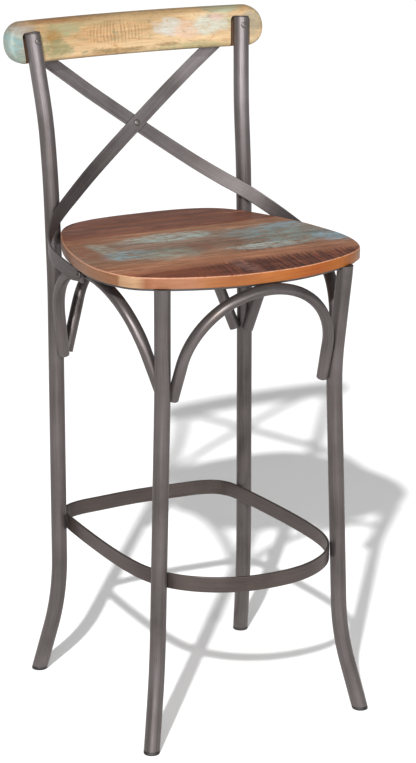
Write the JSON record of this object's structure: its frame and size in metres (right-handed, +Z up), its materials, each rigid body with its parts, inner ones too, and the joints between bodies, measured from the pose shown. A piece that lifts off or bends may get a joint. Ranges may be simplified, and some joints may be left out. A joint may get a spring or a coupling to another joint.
{
  "type": "bar stool with back and footrest",
  "caption": "Tall bar stool with a curved wooden top rail, a crossed metal strap back, a rounded plank seat and a footrest ring, for sitting at a high counter.",
  "frame": {"origin": "middle of the footprint box on the floor plane", "axes": "+Z up, the sitter faces -Y, +X is the sitter's left"},
  "size_m": [0.4638, 0.5012, 1.086],
  "materials": {
    "gunmetal_steel": "satin",
    "zinc_hardware": "satin",
    "seat_wood": "satin",
    "rail_wood": "satin",
    "black_plastic": "matte"
  },
  "bodies": {
    "root": {"back_strap_left": "gunmetal_steel", "back_strap_right": "gunmetal_steel", "brace_front": "gunmetal_steel", "brace_left": "gunmetal_steel", "brace_rear": "gunmetal_steel", "brace_right": "gunmetal_steel", "cross_rivet": "zinc_hardware", "foot_glide_front_left": "black_plastic", "foot_glide_front_right": "black_plastic", "foot_glide_rear_left": "black_plastic", "foot_glide_rear_right": "black_plastic", "footrest_ring": "gunmetal_steel", "front_leg_left": "gunmetal_steel", "front_leg_right": "gunmetal_steel", "post_cap_left": "gunmetal_steel", "post_cap_right": "gunmetal_steel", "rail_screw_left": "zinc_hardware", "rail_screw_right": "zinc_hardware", "rear_leg_left": "gunmetal_steel", "rear_leg_right": "gunmetal_steel", "seat_board_1": "seat_wood", "seat_board_2": "seat_wood", "seat_board_3": "seat_wood", "seat_board_4": "seat_wood", "seat_board_5": "seat_wood", "seat_board_6": "seat_wood", "seat_frame": "gunmetal_steel", "seat_screw_front_left": "zinc_hardware", "seat_screw_front_right": "zinc_hardware", "seat_screw_middle_left": "zinc_hardware", "seat_screw_middle_right": "zinc_hardware", "seat_screw_rear_left": "zinc_hardware", "seat_screw_rear_right": "zinc_hardware", "strap_bolt_left": "zinc_hardware", "strap_bolt_right": "zinc_hardware", "strap_nut_left": "zinc_hardware", "strap_nut_right": "zinc_hardware", "strap_screw_left": "zinc_hardware", "strap_screw_right": "zinc_hardware", "top_rail": "rail_wood"}
  },
  "joints": []
}
